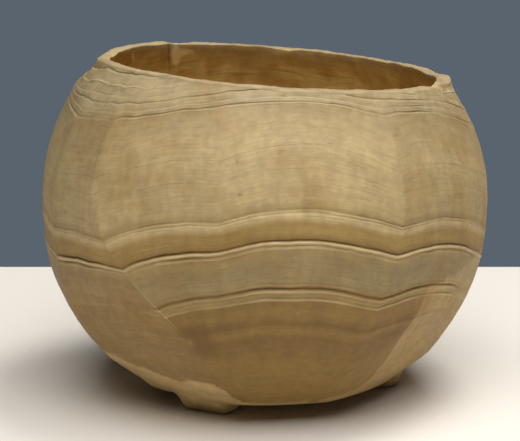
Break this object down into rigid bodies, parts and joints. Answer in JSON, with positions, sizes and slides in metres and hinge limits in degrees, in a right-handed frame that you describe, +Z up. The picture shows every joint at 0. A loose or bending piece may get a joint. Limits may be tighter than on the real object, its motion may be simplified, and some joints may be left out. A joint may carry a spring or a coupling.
{
  "type": "stone tripod vessel",
  "caption": "Round-bellied banded stone bowl with broad upright facets, a tilted worn rim and small stub feet; stands by its own weight and is open above.",
  "frame": {"origin": "on the ground plane under the soles, at the middle of the footprint", "axes": "+Z up out of the mouth, front at -Y, +X to the right as seen from the front"},
  "size_m": [0.2178, 0.2186, 0.1696],
  "materials": {
    "banded_stone": "satin"
  },
  "bodies": {
    "root": {"vessel": "banded_stone"}
  },
  "joints": []
}
